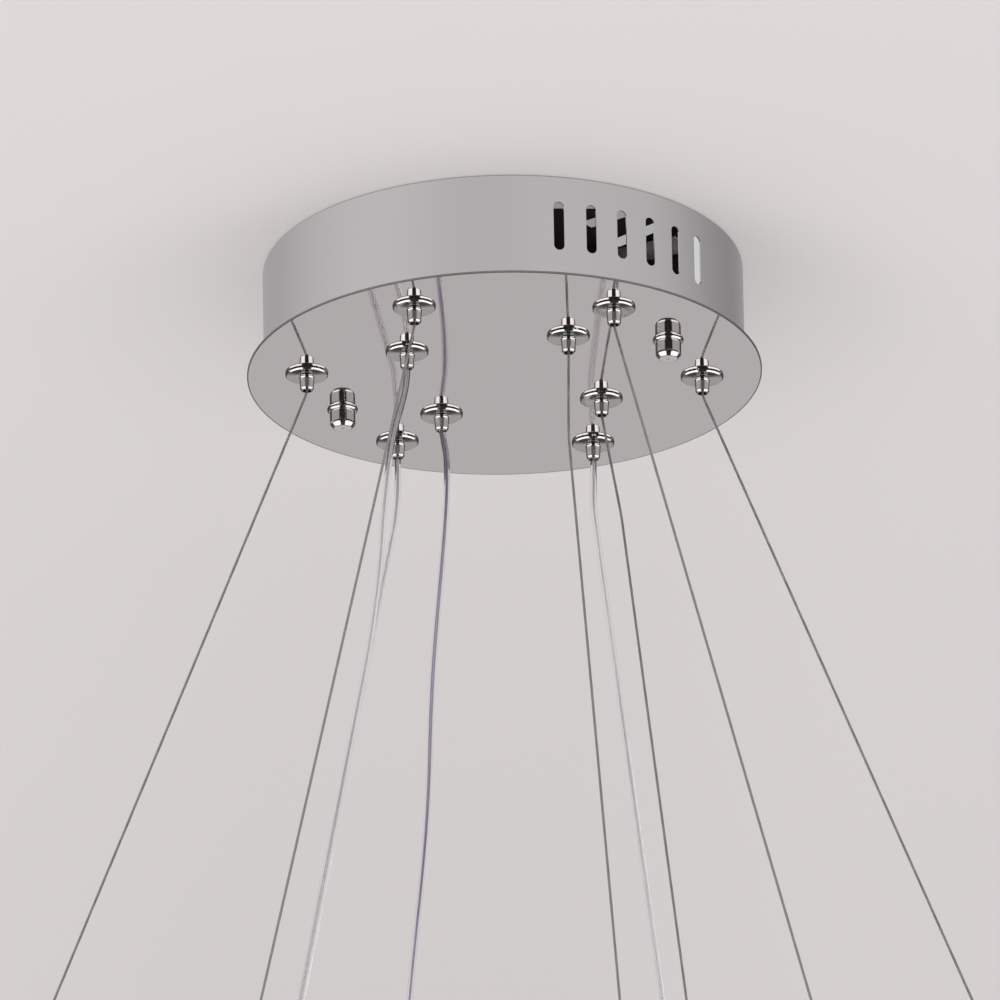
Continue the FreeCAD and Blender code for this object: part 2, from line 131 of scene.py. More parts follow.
def make_camera():
    """The camera stands below and in front of the canopy, a long way off with a long lens."""
    data = bpy.data.cameras.new("camera")
    data.sensor_width = SENSOR
    data.lens = PIXELS_PER_METRE * CAMERA_DISTANCE * SENSOR / FRAME_PIXELS
    data.clip_end = CAMERA_REACH
    camera = put_in_scene("camera", data)
    bpy.context.scene.camera = camera

    level = math.cos(CAMERA_DEPRESSION)
    east, north = math.sin(CAMERA_AZIMUTH) * level, -math.cos(CAMERA_AZIMUTH) * level
    back = Vector((east, north, -math.sin(CAMERA_DEPRESSION)))
    plate_centre = Vector((0, 0, PLATE_FACE))
    place = plate_centre + back * CAMERA_DISTANCE
    right = (-back).cross(Vector((0, 0, 1))).normalized()
    up = right.cross(-back)
    rolled_right = right * math.cos(CAMERA_ROLL) - up * math.sin(CAMERA_ROLL)
    rolled_up = right * math.sin(CAMERA_ROLL) + up * math.cos(CAMERA_ROLL)
    middle = FRAME_PIXELS / 2
    aim = plate_centre - rolled_right * ((PLATE_CENTRE_PIXEL[0] - middle) / PIXELS_PER_METRE)
    aim -= rolled_up * ((middle - PLATE_CENTRE_PIXEL[1]) / PIXELS_PER_METRE)
    away = (place - aim).normalized()
    side = rolled_up.cross(away).normalized()
    turned_by = Matrix((side, away.cross(side), away)).transposed()
    camera.matrix_world = Matrix.Translation(place) @ turned_by.to_4x4()


# ---------------------------------------------------------------- materials

# the part of its range that a noise texture mostly keeps to
NOISE_SPAN = (0.25, 0.75)
# the UV map that goes round a turned piece, and on it the grain of the steel and its tool marks
ROUND_MAP = "round"
TURNED_GRAIN = (6, 9, 1)
TOOL_MARKS = (3, 22, 1)
TOOL_MARK_DEPTH = 0.0015 * MM


class Nodes:
    """Short ways to add nodes to a tree and to join them."""

    def __init__(self, tree):
        self.tree = tree

    def add(self, kind, **values):
        """A node; its properties and sockets get values or other nodes' outputs."""
        node = self.tree.nodes.new(kind)
        for name, value in values.items():
            self.set(node, name, value)
        return node

    def set(self, node, name, value):
        """One property or socket of a node; i0, i1 and so on are sockets by their number."""
        if hasattr(node, name) and name not in node.inputs:
            setattr(node, name, value)
            return
        numbered = name[:1] == "i" and name[1:].isdigit()
        socket = node.inputs[int(name[1:])] if numbered else node.inputs[name]
        if isinstance(value, bpy.types.NodeSocket):
            self.tree.links.new(value, socket)
        else:
            socket.default_value = value

    def maths(self, operation, *inputs):
        numbered = {f"i{place}": value for place, value in enumerate(inputs)}
        return self.add("ShaderNodeMath", operation=operation, **numbered).outputs[0]

    def mix(self, share, first, second):
        """Two shaders, the second by this share."""
        return self.add("ShaderNodeMixShader", i0=share, i1=first, i2=second).outputs[0]

    def map_range(self, value, span, to_span, **options):
        """One range of a value brought into another."""
        limits = zip(("From Min", "From Max", "To Min", "To Max"), (*span, *to_span))
        return self.add("ShaderNodeMapRange", Value=value, **options, **dict(limits)).outputs[0]

    def step(self, value, low, high, to_low=0.0, to_high=1.0):
        """One level below low and another above high, smooth between."""
        smooth = {"interpolation_type": "SMOOTHSTEP"}
        return self.map_range(value, (low, high), (to_low, to_high), **smooth)


class Finish(Nodes):
    """A material, with short ways to set its shader."""

    def __init__(self, name):
        self.material = bpy.data.materials.new(name)
        self.material.use_nodes = True
        super().__init__(self.material.node_tree)
        self.shader = self.tree.nodes["Principled BSDF"]

    def look(self, **values):
        """Sockets of the shader, written with underscores for their spaces."""
        for name, value in values.items():
            self.set(self.shader, name.replace("_", " "), value)

    def coordinates(self, kind="Object"):
        return self.add("ShaderNodeTexCoord").outputs[kind]

    def noise(self, coordinates, scale, detail=3.0, stretch=(1, 1, 1)):
        place = self.add("ShaderNodeMapping", Vector=coordinates, Scale=stretch).outputs[0]
        values = {"Vector": place, "Scale": scale, "Detail": detail}
        return self.add("ShaderNodeTexNoise", **values).outputs[0]

    def rough(self, noise, low, high):
        """Roughness that wanders between two values."""
        self.look(Roughness=self.map_range(noise, NOISE_SPAN, (low, high)))

    def bump(self, height, distance, strength):
        bump = self.add("ShaderNodeBump", Height=height, Distance=distance, Strength=strength)
        self.look(Normal=bump.outputs[0])


def metal(name, color, roughness, grain, relief=None):
    """Metal whose roughness wanders along a grain, and that may have a faint relief.

    A grain is a noise's scale, detail and stretch; a relief has a scale, a detail, a distance and
    a strength.
    """
    finish = Finish(name)
    place = finish.coordinates()
    finish.look(Metallic=1.0, Base_Color=color)
    finish.rough(finish.noise(place, *grain), *roughness)
    if relief:
        scale, detail, distance, strength = relief
        finish.bump(finish.noise(place, scale, detail), distance, strength)
    return finish.material


def turned_steel(name, color, roughness, stretch):
    """Steel turned on a lathe: its fine grain runs round it and draws highlights out along it."""
    finish = Finish(name)
    along = finish.coordinates("UV")
    round_it = finish.add("ShaderNodeTangent", direction_type="UV_MAP", uv_map=ROUND_MAP)
    finish.look(Metallic=1.0, Base_Color=color, Tangent=round_it.outputs[0])
    finish.look(Anisotropic=stretch, Anisotropic_Rotation=0.25)
    finish.rough(finish.noise(along, 1.0, 3.0, TURNED_GRAIN), roughness * 0.75, roughness * 1.3)
    finish.bump(finish.noise(along, 1.0, 2.0, TOOL_MARKS), TOOL_MARK_DEPTH, 0.6)
    return finish.material


def moulded(name, color, roughness, grain=900.0):
    """Moulded plastic with a fine sparked texture."""
    finish = Finish(name)
    place = finish.coordinates()
    finish.look(Base_Color=color)
    finish.rough(finish.noise(place, 40.0), roughness * 0.85, roughness * 1.15)
    finish.bump(finish.noise(place, grain, 2.0), 0.00003, 0.4)
    return finish.material


def clear_sheath(name, color):
    """The clear sheath of a supply cable."""
    finish = Finish(name)
    finish.look(Base_Color=color, IOR=1.36, Transmission_Weight=1.0)
    finish.rough(finish.noise(finish.coordinates(), 120.0), 0.04, 0.1)
    return finish.material


FINISHES = {
    # mirror-polished stainless steel, with the faintest waviness and haze
    "plate": metal(
        "plate_mirror_polish",
        (0.74, 0.70, 0.705, 1),
        (0.03, 0.05),
        (9.0,),
        relief=(22.0, 2.0, 0.00002, 0.15),
    ),
    # polished sheet steel, hazier than the plate
    "drum": metal(
        "drum_polished_sheet",
        (0.66, 0.64, 0.645, 1),
        (0.14, 0.2),
        (14.0,),
        relief=(30.0, 2.0, 0.00004, 0.15),
    ),
    # the sheared rim of the plate, dull and darkened as painted shade, and the drum's upper edge,
    # painted dark as the contact shadow against the ceiling
    "cut_edge": metal(
        "plate_cut_edge", (0.30, 0.29, 0.29, 1), (0.3, 0.5), (300.0, 2.0, (1, 1, 0.1))
    ),
    # the collar at the top of a sleeve, painted near-black as shade: a painted stand-in for the
    # shadowed gap above it
    "rim": metal("collar_painted_shade", (0.035, 0.034, 0.034, 1), (0.2, 0.35), (400.0, 2.0)),
    "grip": turned_steel("grip_turned_steel", (0.84, 0.82, 0.81, 1), 0.06, 0.3),
    # the flange's faced underside: the grip steel with its own grain, its colour darkened as painted
    # shade
    "grip_face": turned_steel("grip_face_steel_shaded", (0.54, 0.535, 0.525, 1), 0.1, 0.3),
    "cap_nut": turned_steel("cap_nut_turned_steel", (0.78, 0.76, 0.75, 1), 0.08, 0.4),
    "fitting": turned_steel("fitting_turned_steel", (0.70, 0.69, 0.68, 1), 0.25, 0.5),
    "zinc": metal(
        "strap_zinc_plate",
        (0.62, 0.62, 0.63, 1),
        (0.28, 0.45),
        (60.0, 5.0),
        relief=(400.0, 3.0, 0.00002, 0.4),
    ),
    "case": moulded("driver_case_white", (0.80, 0.80, 0.78, 1), 0.45),
    "foam": moulded("pad_black_foam", (0.03, 0.03, 0.03, 1), 0.9, 2500.0),
    "terminal": moulded("terminal_polyamide", (0.84, 0.83, 0.79, 1), 0.35),
    "plug": moulded("plug_grey_plastic", (0.62, 0.62, 0.63, 1), 0.4),
    # near-black painted shade for recesses: the grip's core, a sleeve's bore and the terminal
    # screws' slots
    "dark": moulded("recess_painted_shade", (0.015, 0.015, 0.015, 1), 0.6),
    # drawn steel wire, slightly greenish and dull between the strands
    "rope": metal("rope_drawn_steel", (0.49, 0.5, 0.485, 1), (0.5, 0.62), (500.0,)),
    "sheath": clear_sheath("sheath_clear_pvc", (0.95, 0.95, 0.958, 1)),
    "core": metal("conductor_tinned_strands", (0.68, 0.68, 0.7, 1), (0.4, 0.5), (700.0,)),
    "lilac_sheath": clear_sheath("sheath_clear_lilac", (0.9, 0.885, 0.93, 1)),
    "lilac_core": metal(
        "conductor_lilac_strands", (0.38, 0.36, 0.46, 1), (0.4, 0.5), (700.0,)
    ),
}

# ---------------------------------------------------------------- mesh helpers


def to_mesh(bm, name):
    """The edited mesh as a mesh of its own; the edit ends with it."""
    mesh = bpy.data.meshes.new(name)
    bm.to_mesh(mesh)
    bm.free()
    return mesh


def finish_mesh(bm, name, finishes, body="root", sharp=35):
    """The edited mesh as a shown piece: smooth but for its sharp edges, riding on its body."""
    mesh = to_mesh(bm, name)
    for face in mesh.polygons:
        face.use_smooth = True
    mesh.set_sharp_from_angle(angle=math.radians(sharp))
    for finish in finishes.split():
        mesh.materials.append(FINISHES[finish])
    piece = put_in_scene(name, mesh)
    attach(piece, body)
    return piece


def join(bm, other):
    """Another edited mesh put into this one."""
    mesh = to_mesh(other, "joined")
    bm.from_mesh(mesh)
    bpy.data.meshes.remove(mesh)


def place_at(bm, matrix):
    bmesh.ops.transform(bm, matrix=matrix, verts=bm.verts)


def grip_place(circle, angle, height=PLATE_FACE):
    """A place on a circle round the canopy's axis, with X pointing outwards."""
    turn = math.radians(angle)
    base = Vector((circle * MM * math.cos(turn), circle * MM * math.sin(turn), height))
    return Matrix.Translation(base) @ Matrix.Rotation(turn, 4, "Z")


def paint(bm, number, chosen):
    """Gives the finish of this number to the faces chosen by radius and height in millimetres."""
    for face in bm.faces:
        middle = face.calc_center_median()
        if chosen(middle.xy.length / MM, middle.z / MM):
            face.material_index = number


def sharp_edges(bm, degrees):
    return [edge for edge in bm.edges if edge.calc_face_angle(0) > math.radians(degrees)]


def bevel(bm, geom, width, segments, affect="EDGES"):
    bmesh.ops.bevel(
        bm,
        geom=geom,
        offset=width * MM,
        offset_type="OFFSET",
        segments=segments,
        profile=0.5,
        affect=affect,
        material=-1,
    )


def cad_copy(node):
    """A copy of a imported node's mesh, its loose triangles joined and its flat faces made whole."""
    bm = bmesh.new()
    bm.from_mesh(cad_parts[node].data)
    bmesh.ops.remove_doubles(bm, verts=bm.verts, dist=WELD_PACKED)
    flat = math.radians(0.05)
    bmesh.ops.dissolve_limit(bm, angle_limit=flat, verts=bm.verts, edges=bm.edges)
    return bm


LONG_RUN = 0.9
HOLD = 0.15


def held(corners):
    """An outline with a point just inside each end of its long runs, which keeps them flat."""
    whole = [corners[0]]
    for first, second in zip(corners, corners[1:]):
        across, up = second[0] - first[0], second[1] - first[1]
        length = math.hypot(across, up)
        start = HOLD + sum(first[2:])
        end = length - HOLD - sum(second[2:])
        if length > LONG_RUN and end > start:
            for part in (start / length, end / length):
                whole.append((first[0] + across * part, first[1] + up * part))
        whole.append(second)
    return whole


def draw_outline(bm, corners):
    """A chain of edges in the XZ plane, whose corners are (radius, height) or have a rounding."""
    points = [bm.verts.new((corner[0] * MM, 0, corner[1] * MM)) for corner in corners]
    for first, second in zip(points, points[1:]):
        bm.edges.new((first, second))
    for point, corner in zip(points, corners):
        if len(corner) == 3:
            bevel(bm, [point], corner[2], 5, "VERTICES")


def spin_round(bm, steps, **options):
    """All that is drawn, swept once round Z."""
    drawn = bm.verts[:] + bm.edges[:]
    bmesh.ops.spin(
        bm, geom=drawn, cent=(0, 0, 0), axis=(0, 0, 1), angle=FULL_TURN, steps=steps, **options
    )


def wrap_round(bm):
    """A UV map of a turned piece: once round is 0 to 1, and up its outline in millimetres."""
    layer = bm.loops.layers.uv.new(ROUND_MAP)
    for face in bm.faces:
        middle = face.calc_center_median()
        middle_angle = math.atan2(middle.y, middle.x)
        for loop in face.loops:
            place = loop.vert.co
            angle = math.atan2(place.y, place.x) if place.xy.length > WELD else middle_angle
            turn = (angle - middle_angle + math.pi) % FULL_TURN - math.pi
            loop[layer].uv = ((middle_angle + turn) / FULL_TURN, (place.xy.length + place.z) / MM)


def turned(corners, steps=96, ring=False, hold=True):
    """A solid of revolution about Z from its outline, which a ring joins end to end."""
    bm = bmesh.new()
    outline = corners + corners[:1] if ring else corners
    draw_outline(bm, held(outline) if hold else outline)
    bmesh.ops.remove_doubles(bm, verts=bm.verts, dist=WELD)
    spin_round(bm, steps, use_merge=True)
    bmesh.ops.remove_doubles(bm, verts=bm.verts, dist=WELD)
    bmesh.ops.dissolve_degenerate(bm, dist=WELD_FINE, edges=bm.edges)
    bmesh.ops.recalc_face_normals(bm, faces=bm.faces)
    wrap_round(bm)
    return bm


THREAD_STEPS = 20


def thread(bm, radius, low, high, pitch=0.8, depth=0.45):
    """A screw thread about Z between two heights: one rising turn, repeated all the way up."""
    wound = bmesh.new()
    outline = [(radius - depth, low), (radius, low + pitch * 0.4), (radius, low + pitch * 0.6)]
    draw_outline(wound, outline + [(radius - depth, low + pitch)])
    spin_round(wound, THREAD_STEPS, dvec=(0, 0, pitch * MM / THREAD_STEPS))
    one_turn = wound.verts[:] + wound.edges[:] + wound.faces[:]
    for number in range(1, int((high - low) / pitch) - 1):
        copied = bmesh.ops.duplicate(wound, geom=one_turn)["geom"]
        points = [item for item in copied if isinstance(item, bmesh.types.BMVert)]
        bmesh.ops.translate(wound, vec=(0, 0, number * pitch * MM), verts=points)
    bmesh.ops.remove_doubles(wound, verts=wound.verts, dist=WELD_PACKED)
    bmesh.ops.recalc_face_normals(wound, faces=wound.faces)
    wrap_round(wound)
    join(bm, wound)


NUT_EDGE_BEVEL = 0.35
# a finished circle of a nut waits this far up, in metres, so that the next one is told from it
AWAY = 1.0


def hex_nut(across, height, bore):
    """A hexagon nut on the XY plane, bevelled, with a round bore."""
    corners, parts = 6, 4
    bm = bmesh.new()
    loops = []
    for level in (0, height):
        radius = across / math.sqrt(3) * MM
        points = bmesh.ops.create_circle(bm, segments=corners, radius=radius)["verts"]
        edges = list({edge for point in points for edge in point.link_edges})
        bmesh.ops.subdivide_edges(bm, edges=edges, cuts=parts - 1)
        outer = [point for point in bm.verts if point.co.z < AWAY / 2]
        radius = bore / 2 * MM
        inner = bmesh.ops.create_circle(bm, segments=corners * parts, radius=radius)["verts"]
        for group in (outer, inner):
            for point in group:
                point.co.z = level * MM + AWAY
            loops.append(list({edge for point in group for edge in point.link_edges}))
    outer_low, inner_low, outer_high, inner_high = loops
    for first, second in (
        (outer_low, inner_low),
        (outer_high, inner_high),
        (outer_low, outer_high),
        (inner_low, inner_high),
    ):
        bmesh.ops.bridge_loops(bm, edges=first + second)
    bmesh.ops.translate(bm, vec=(0, 0, -AWAY), verts=bm.verts)
    bmesh.ops.recalc_face_normals(bm, faces=bm.faces)
    beyond_bore = bore / 2 * MM * 1.05
    rim = [edge for edge in sharp_edges(bm, 40) if edge.verts[0].co.xy.length > beyond_bore]
    bevel(bm, rim, NUT_EDGE_BEVEL, 2)
    wrap_round(bm)
    return bm


# ---------------------------------------------------------------- canopy shell

PLATE_EDGE_BEVEL = 0.12
PLATE_MARGIN = 0.6
# a normal's upright part from which a face counts as level, and the share of the plate's radius
# from which an edge counts as its rim
LEVEL = 0.999
NEAR_RIM = 0.999


def make_plate():
    """The polished disc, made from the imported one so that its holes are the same."""
    bm = cad_copy("canopy_plate")
    rim = [
        edge
        for edge in bm.edges
        if min(point.co.xy.length for point in edge.verts) > PLATE_RADIUS * NEAR_RIM
        and abs(edge.verts[0].co.z - edge.verts[1].co.z) < WELD_PACKED
    ]
    bevel(bm, rim, PLATE_EDGE_BEVEL, 2)
    mirror = [face for face in bm.faces if face.normal.z < -LEVEL]
    bmesh.ops.inset_region(bm, faces=mirror, thickness=PLATE_MARGIN * MM, use_even_offset=True)
    # the rim and a thin margin inside it get the dark edge finish: a dull sheared edge, darkened as
    # painted shade
    paint(bm, 1, lambda radius, height: radius > PLATE_RADIUS / MM - PLATE_MARGIN - 0.1)
    bmesh.ops.triangulate(bm, faces=[face for face in bm.faces if len(face.verts) > 4])
    piece = finish_mesh(bm, "polished_plate", "plate cut_edge", sharp=25)
    for face in piece.data.polygons:
        if abs(face.normal.z) > LEVEL:
            face.use_smooth = False
    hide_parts("canopy_plate")


VENTS = 6
VENT_WIDTH, VENT_HEIGHT = 6.2, 30.2
VENT_MIDDLE = -31.0
VENT_FIRST_ANGLE, VENT_STEP = -80, 8
VENT_CUT = 20
DRUM_SHARP = 30


def vent_cutter(angle):
    """A slot-shaped bar that sticks through the drum's wall at this angle."""
    bm = bmesh.new()
    rise = (VENT_HEIGHT - VENT_WIDTH) / 2 * MM
    bmesh.ops.create_circle(bm, cap_ends=True, segments=48, radius=VENT_WIDTH / 2 * MM)
    for point in bm.verts:
        point.co.y += rise if point.co.y > -WELD else -rise
    upright = Matrix.Rotation(math.pi / 2, 3, "X")
    bmesh.ops.rotate(bm, cent=(0, 0, 0), matrix=upright, verts=bm.verts)
    grown = bmesh.ops.extrude_face_region(bm, geom=bm.faces[:])
    moved = [item for item in grown["geom"] if isinstance(item, bmesh.types.BMVert)]
    bmesh.ops.translate(bm, vec=(0, VENT_CUT * MM, 0), verts=moved)
    bmesh.ops.recalc_face_normals(bm, faces=bm.faces)
    start = -DRUM_RADIUS - VENT_CUT / 2 * MM
    bmesh.ops.translate(bm, vec=(0, start, VENT_MIDDLE * MM), verts=bm.verts)
    place_at(bm, Matrix.Rotation(math.radians(angle + 90), 4, "Z"))
    return bm


def cut_vents(drum):
    """The slots cut out of the drum's wall, all with one cutter."""
    cutters = bmesh.new()
    for index in range(VENTS):
        join(cutters, vent_cutter(VENT_FIRST_ANGLE + VENT_STEP * index))
    cutter = put_in_scene("vent_cutters", to_mesh(cutters, "vent_cutters"))
    cut = drum.modifiers.new("vents", "BOOLEAN")
    cut.object = cutter
    cut.solver = "EXACT"
    bpy.context.view_layer.update()
    graph = bpy.context.evaluated_depsgraph_get()
    whole = bpy.data.meshes.new_from_object(drum.evaluated_get(graph))
    drum.modifiers.clear()
    drum.data = whole
    bpy.data.objects.remove(cutter)
    whole.set_sharp_from_angle(angle=math.radians(DRUM_SHARP))


def make_drum():
    """The thin drum wall with its slots and a rolled upper edge."""
    outside = DRUM_RADIUS / MM
    inside = outside - DRUM_WALL
    rolled = inside - 1.2
    low = PLATE_TOP / MM
    outline = [
        (outside, low, 0.3),
        (outside, -1.6),
        (outside - 0.15, -0.4, 0.3),
        (outside - 0.7, 0, 0.2),
        (rolled, 0, 0.2),
        (rolled, -0.8),
        (inside, -1.2, 0.3),
        (inside, low),
    ]
    bm = turned(outline, steps=360, ring=True, hold=False)
    # the drum's upper edge gets the dark edge finish: a painted contact shadow where it meets the
    # ceiling
    paint(bm, 1, lambda radius, height: height > -0.5)
    piece = finish_mesh(bm, "drum_wall", "drum cut_edge", sharp=DRUM_SHARP)
    cut_vents(piece)
    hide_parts("canopy_drum")


# ---------------------------------------------------------------- strap and cap nuts

STRAP_BEVEL = 0.3
STUD_RADIUS = 2.5
STUD_ROOT = STUD_RADIUS - 0.45
# how far below the strap's end of a stud its thread ends and its head begins
STUD_THREAD_END, STUD_HEAD = 13.6, 0.8


def make_strap():
    """The bent strap under the ceiling, and its two studs for the cap nuts."""
    bm = cad_copy("ceiling_strap")
    bevel(bm, sharp_edges(bm, 60), STRAP_BEVEL, 2)
    piece = finish_mesh(bm, "ceiling_strap_bent", "zinc")
    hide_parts("ceiling_strap")
    stud_low, stud_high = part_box("strap_studs")
    bottom, top = stud_low.z / MM, stud_high.z / MM
    head = STUD_RADIUS + 1.3
    outline = [
        (0, bottom),
        (STUD_RADIUS - 0.5, bottom),
        (STUD_ROOT, bottom + 0.6),
        (STUD_ROOT, top - STUD_THREAD_END - 0.4),
        (STUD_RADIUS, top - STUD_THREAD_END),
        (STUD_RADIUS, top - STUD_HEAD),
        (head, top - 0.5, 0.3),
        (head, top),
        (0, top),
    ]
    for name, angle in STUD_ANGLES.items():
        bm = turned(outline, steps=32)
        thread(bm, STUD_RADIUS, bottom + 0.6, top - STUD_THREAD_END)
        place_at(bm, grip_place(STUD_CIRCLE, angle, 0))
        stud = finish_mesh(bm, name.replace("cap_nut", "stud"), "zinc")
        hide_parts("strap_studs")


CAP_NUT_OUTLINE = [
    (0, -9.2),
    (2.55, -9.2),
    (2.55, -0.1),
    (9.0, -0.1),
    (8.87, -0.85, 0.12),
    (8.05, -1.67, 0.06),
    (7.5, -1.75),
    (7.35, -2.1),
    (7.55, -2.5, 0.2),
    (7.5, -8.9, 0.15),
    (7.25, -9.85, 0.2),
    (5.5, -11.8, 0.15),
    (5.2, -11.95),
    (0.9, -11.95),
    (0.7, -11.2),
    (0, -11.1),
]


def make_cap_nuts():
    for name, angle in STUD_ANGLES.items():
        bm = turned(CAP_NUT_OUTLINE, steps=128)
        place_at(bm, grip_place(STUD_CIRCLE, angle))
        shown = name.replace("cap_nut", "cap_nut_turned")
        piece = finish_mesh(bm, shown, "cap_nut", body=name)
        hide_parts(name)


# ---------------------------------------------------------------- grips

FLANGE_OUTLINE = [
    (0, 1.2),
    (4.95, 1.2),
    (4.95, 0),
    (12.65, 0),
    (12.44, -1.2, 0.1),
    (11.7, -1.98, 0.08),
    (4.3, -1.38),
    (3.95, -1.38),
    (3.95, -0.6),
    (2.7, -0.6),
    (2.7, -9.1),
]
WIRE_CORE_END = [(0, -9.1)]
CABLE_CORE_END = [(2.2, -9.1), (2.2, -10.2), (0, -10.2)]
SLEEVE_OUTLINE = [
    (2.75, -1.75),
    (3.75, -1.75),
    (3.75, -2.62),
    (4.5, -2.66),
    (4.5, -3.05),
    (4.12, -3.5),
    (4.12, -3.62),
    (4.34, -3.85, 0.1),
    (4.0, -9.75),
    (3.5, -10.3),
    (3.42, -10.4),
    (3.42, -10.75, 0.2),
    (2.9, -11.0, 0.15),
    (2.3, -10.9, 0.1),
    (2.3, -10.4),
    (2.75, -10.28),
]
# the lock nut's width across its flats, height and bore, and the nipple's size over its thread
LOCK_NUT = (14, 4, 9.7)
NIPPLE_RADIUS = 5.0
NIPPLE_RISE = 5.2
NIPPLE_THREAD = {"pitch": 0.5, "depth": 0.35}


def on_flange_face(radius, height):
    return 3.95 < radius < 11.65 and height < -1.3


def on_core(radius, height):
    return radius < 2.75 and height < -2


def on_sleeve_collar(radius, height):
    return radius > 4.45 and height > -3.1


def in_sleeve_bore(radius, height):
    return radius < 2.8


def nipple_and_nut(bm):
    """The threaded end above the plate, with its lock nut."""
    top = PLATE_THICKNESS
    nut = hex_nut(*LOCK_NUT)
    place_at(nut, Matrix.Translation((0, 0, top * MM)))
    join(bm, nut)
    end = top + NIPPLE_RISE
    outline = [(3.4, top + 0.4), (4.55, top + 0.4), (4.55, end - 0.5), (4.2, end), (3.4, end)]
    join(bm, turned(outline, steps=48, ring=True))
    thread(bm, NIPPLE_RADIUS, top + 3.6, end - 0.2, **NIPPLE_THREAD)


def make_grip(name, circle, angle, core_end, sleeve_body, replaced):
    """Flange, core, lock nut and sleeve of one grip. A wire grip's sleeve rides on its own body."""
    place = grip_place(circle, angle)
    bm = turned(FLANGE_OUTLINE + core_end, steps=128)
    # the flange's underside gets the darker copy of the grip steel: painted shade
    paint(bm, 1, on_flange_face)
    # the core inside the grip gets the near-black finish: painted shade
    paint(bm, 2, on_core)
    nipple_and_nut(bm)
    place_at(bm, place)
    piece = finish_mesh(bm, f"{name}_flange", "grip grip_face dark")
    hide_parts(replaced)
    bm = turned(SLEEVE_OUTLINE, steps=96, ring=True)
    # the sleeve's collar gets the near-black finish: painted shade for the gap above it
    paint(bm, 1, on_sleeve_collar)
    # the sleeve's bore gets the near-black finish: painted shade
    paint(bm, 2, in_sleeve_bore)
    place_at(bm, place)
    return finish_mesh(bm, f"{name}_sleeve", "grip rim dark", body=sleeve_body)


def make_grips():
    for index, (circle, angle, _, _) in enumerate(WIRES, start=1):
        name, sleeve_body = f"wire_grip_{index}", f"sleeve_{index}"
        sleeve = make_grip(name, circle, angle, WIRE_CORE_END, sleeve_body, "wire_grip_bodies")
        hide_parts(f"wire_grip_sleeve_{index}")
    for index, (circle, angle, _, _) in enumerate(CABLES, start=1):
        name = f"cable_grip_{index}"
        sleeve = make_grip(name, circle, angle, CABLE_CORE_END, "root", "cable_grip_bodies")
        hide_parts("cable_grip_bodies")


# ---------------------------------------------------------------- wires and cables


def route_points(circle, angle, route):
    place = grip_place(circle, angle)
    return [place @ Vector((out * MM, 0, -down * MM)) for out, down in route]


def pull_straight(points, reach):
    """One more point on the last, straight run, this far past its corner."""
    corner, end = points[-2], points[-1]
    return points[:-1] + [corner + (end - corner).normalized() * reach, end]


def fill_spline(spline, points):
    spline.points.add(len(points) - 1)
    for target, point in zip(spline.points, points):
        target.co = (*point, 1)


def curve_mesh(curve):
    """What a curve looks like, as a mesh."""
    holder = bpy.data.objects.new(curve.name, curve)
    mesh = bpy.data.meshes.new_from_object(holder)
    bpy.data.objects.remove(holder)
    return mesh


def smooth_line(points):
    """Close points along the route's own smooth curve."""
    curve = bpy.data.curves.new("route", "CURVE")
    curve.dimensions = "3D"
    curve.resolution_u = 64
    spline = curve.splines.new("NURBS")
    fill_spline(spline, points)
    spline.order_u = 3
    spline.use_endpoint_u = True
    line = curve_mesh(curve)
    chain = [vertex.co.copy() for vertex in line.vertices]
    bpy.data.meshes.remove(line)
    return chain


def spaced(chain, step):
    """A chain of points brought to even steps."""
    lengths = [0.0]
    for first, second in zip(chain, chain[1:]):
        lengths.append(lengths[-1] + (second - first).length)
    count = max(2, round(lengths[-1] / step))
    points = []
    index = 0
    for number in range(count + 1):
        target = lengths[-1] * number / count
        while index < len(lengths) - 2 and lengths[index + 1] < target:
            index += 1
        part = (target - lengths[index]) / (lengths[index + 1] - lengths[index])
        points.append(chain[index].lerp(chain[index + 1], min(1.0, part)))
    return points


def tube_along(name, chains, radius, resolution, finish):
    """One piece of round tubes, each along its own chain of points."""
    curve = bpy.data.curves.new(name, "CURVE")
    curve.dimensions = "3D"
    curve.bevel_depth = radius
    curve.bevel_resolution = resolution
    curve.use_fill_caps = True
    for chain in chains:
        fill_spline(curve.splines.new("POLY"), chain)
    mesh = curve_mesh(curve)
    mesh.materials.clear()
    bm = bmesh.new()
    bm.from_mesh(mesh)
    bpy.data.meshes.remove(mesh)
    bmesh.ops.remove_doubles(bm, verts=bm.verts, dist=WELD_FINE)
    bmesh.ops.recalc_face_normals(bm, faces=bm.faces)
    return finish_mesh(bm, name, finish, sharp=50)


def twisted(chain, upright, radius, pitch, share):
    """A chain that winds round another; share is its place in the turn, from 0 to 1."""
    wound = []
    travelled = 0.0
    for index, point in enumerate(chain):
        if index:
            travelled += (point - chain[index - 1]).length
        ahead = chain[min(index + 1, len(chain) - 1)] - chain[max(index - 1, 0)]
        side = ahead.cross(upright).normalized()
        turn = FULL_TURN * (travelled / pitch + share)
        wound.append(point + (side * math.cos(turn) + upright * math.sin(turn)) * radius)
    return wound


def bundle(chain, angle, radius, pitch, count):
    """Chains that wind round a route, which lies in the upright plane at this angle."""
    turn = math.radians(angle)
    upright = Vector((-math.sin(turn), math.cos(turn), 0))
    return [twisted(chain, upright, radius, pitch, number / count) for number in range(count)]


def end_place(chain):
    """The place of a line's end, with Z pointing back along it."""
    back = (chain[-2] - chain[-1]).normalized()
    return Matrix.Translation(chain[-1]) @ back.to_track_quat("Z", "Y").to_matrix().to_4x4()


STRANDS = 6
ROPE_PITCH = 8.5 * MM
STRAND_RADIUS = 0.285 * MM
STRAND_STEP = 0.7 * MM
